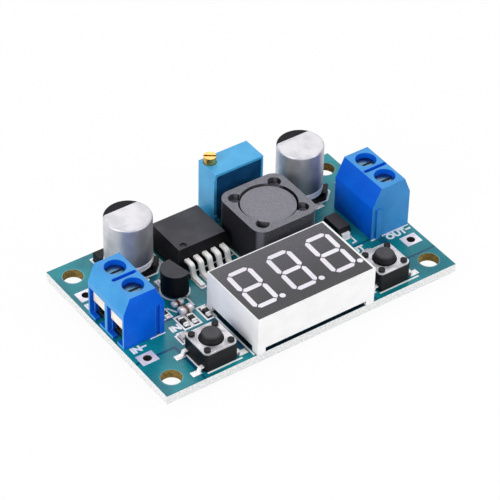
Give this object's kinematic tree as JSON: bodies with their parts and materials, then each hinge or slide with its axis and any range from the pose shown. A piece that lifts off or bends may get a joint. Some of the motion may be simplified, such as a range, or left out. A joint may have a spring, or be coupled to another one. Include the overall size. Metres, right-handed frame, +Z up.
{
  "type": "buck converter module",
  "caption": "Step-down supply board with screw terminals at both ends, a three-digit display, two push buttons, a shielded inductor, can capacitors and a multi-turn trimmer.",
  "frame": {"origin": "underside of the circuit board, midway between its four mounting holes", "axes": "+X along the board towards the output terminal, +Y towards the edge with the trimmer, +Z up out of the board's component side"},
  "size_m": [0.056, 0.0352, 0.0145],
  "materials": {
    "board_mask": "glossy solder mask over glass-epoxy board",
    "terminal_blue": "moulded polyamide, slight sheen",
    "plated_steel": "zinc-plated",
    "plated_brass": "nickel-plated brass",
    "can_aluminium": "satin drawn can",
    "black_plastic": "moulded, matt",
    "chip_epoxy": "moulded epoxy, fine grain",
    "tinned_copper": "tin-plated",
    "ferrite": "pressed ferrite with a fine grain",
    "copper_wire": "enamelled copper",
    "trimmer_blue": "moulded",
    "navy_resin": "cast resin",
    "adjuster_brass": "turned brass",
    "display_white": "moulded white",
    "display_grey": "printed dark face",
    "segment_white": "diffusing resin",
    "backing_resin": "cast resin",
    "cover_steel": "bright tinned sheet",
    "resistor_black": "glazed top",
    "ceramic_tan": "fired ceramic",
    "light_lens": "pale diffusing resin"
  },
  "bodies": {
    "board": {"ceramic_capacitor_bodies": "ceramic_tan", "ceramic_capacitor_ends": "tinned_copper", "chip_resistor_bodies": "resistor_black", "chip_resistor_ends": "tinned_copper", "circuit_board": "board_mask", "controller_body": "chip_epoxy", "controller_leads": "tinned_copper", "display_backing": "backing_resin", "display_face": "display_grey", "display_housing": "display_white", "display_pins": "tinned_copper", "display_segments": "segment_white", "indicator_light_bodies": "light_lens", "indicator_light_ends": "tinned_copper", "inductor_core": "ferrite", "inductor_shield": "ferrite", "inductor_terminals": "tinned_copper", "inductor_winding": "copper_wire", "input_capacitor_base": "black_plastic", "input_capacitor_can": "can_aluminium", "input_capacitor_leads": "tinned_copper", "input_terminal_contacts": "plated_brass", "input_terminal_housing": "terminal_blue", "left_button_base": "black_plastic", "left_button_cover": "cover_steel", "left_button_dome": "plated_steel", "left_button_legs": "tinned_copper", "output_capacitor_base": "black_plastic", "output_capacitor_can": "can_aluminium", "output_capacitor_leads": "tinned_copper", "output_diode_body": "chip_epoxy", "output_diode_leads": "tinned_copper", "output_terminal_contacts": "plated_brass", "output_terminal_housing": "terminal_blue", "regulator_body": "chip_epoxy", "regulator_leads": "tinned_copper", "regulator_tab": "tinned_copper", "right_button_base": "black_plastic", "right_button_cover": "cover_steel", "right_button_dome": "plated_steel", "right_button_legs": "tinned_copper", "transistor_body": "chip_epoxy", "transistor_leads": "tinned_copper", "trimmer_housing": "trimmer_blue", "trimmer_pins": "tinned_copper", "trimmer_resin": "navy_resin"},
    "left_plunger": {"left_button_plunger": "black_plastic"},
    "right_plunger": {"right_button_plunger": "black_plastic"},
    "adjuster": {"trimmer_screw": "adjuster_brass"},
    "input_front_guard": {"input_front_wire_guard": "plated_steel"},
    "input_front_screw": {"input_front_clamp_screw": "plated_steel"},
    "input_rear_guard": {"input_rear_wire_guard": "plated_steel"},
    "input_rear_screw": {"input_rear_clamp_screw": "plated_steel"},
    "output_front_guard": {"output_front_wire_guard": "plated_steel"},
    "output_front_screw": {"output_front_clamp_screw": "plated_steel"},
    "output_rear_guard": {"output_rear_wire_guard": "plated_steel"},
    "output_rear_screw": {"output_rear_clamp_screw": "plated_steel"}
  },
  "joints": [
    {"name": "left_button_press", "type": "slide", "parent": "board", "child": "left_plunger", "axis": [0, 0, 1], "range_m": [-0.00025, 0], "stiffness_N_per_m": 8000, "deforming": ["left_button_dome"]},
    {"name": "right_button_press", "type": "slide", "parent": "board", "child": "right_plunger", "axis": [0, 0, 1], "range_m": [-0.00025, 0], "stiffness_N_per_m": 8000, "deforming": ["right_button_dome"]},
    {"name": "trimmer_turn", "type": "hinge", "parent": "board", "child": "adjuster", "pos_m": [0.00275, 0.01617, 0.0116], "axis": [0, 0, 1], "continuous": true},
    {"name": "input_front_clamp", "type": "slide", "parent": "board", "child": "input_front_guard", "axis": [0, 0, 1], "range_m": [-0.0016, 0]},
    {"name": "input_front_screw_turn", "type": "hinge", "parent": "input_front_guard", "child": "input_front_screw", "pos_m": [-0.0243, -0.00254, 0.0106], "axis": [0, 0, 1], "range_deg": [-1152, 0]},
    {"name": "input_rear_clamp", "type": "slide", "parent": "board", "child": "input_rear_guard", "axis": [0, 0, 1], "range_m": [-0.0016, 0]},
    {"name": "input_rear_screw_turn", "type": "hinge", "parent": "input_rear_guard", "child": "input_rear_screw", "pos_m": [-0.0243, 0.00254, 0.0106], "axis": [0, 0, 1], "range_deg": [-1152, 0]},
    {"name": "output_front_clamp", "type": "slide", "parent": "board", "child": "output_front_guard", "axis": [0, 0, 1], "range_m": [-0.0016, 0]},
    {"name": "output_front_screw_turn", "type": "hinge", "parent": "output_front_guard", "child": "output_front_screw", "pos_m": [0.0243, -0.00254, 0.0106], "axis": [0, 0, 1], "range_deg": [-1152, 0]},
    {"name": "output_rear_clamp", "type": "slide", "parent": "board", "child": "output_rear_guard", "axis": [0, 0, 1], "range_m": [-0.0016, 0]},
    {"name": "output_rear_screw_turn", "type": "hinge", "parent": "output_rear_guard", "child": "output_rear_screw", "pos_m": [0.0243, 0.00254, 0.0106], "axis": [0, 0, 1], "range_deg": [-1152, 0]}
  ],
  "couplings": [
    {"joint": "input_front_screw_turn", "follows": "input_front_clamp", "rad_per_m": 12566},
    {"joint": "input_rear_screw_turn", "follows": "input_rear_clamp", "rad_per_m": 12566},
    {"joint": "output_front_screw_turn", "follows": "output_front_clamp", "rad_per_m": 12566},
    {"joint": "output_rear_screw_turn", "follows": "output_rear_clamp", "rad_per_m": 12566}
  ]
}
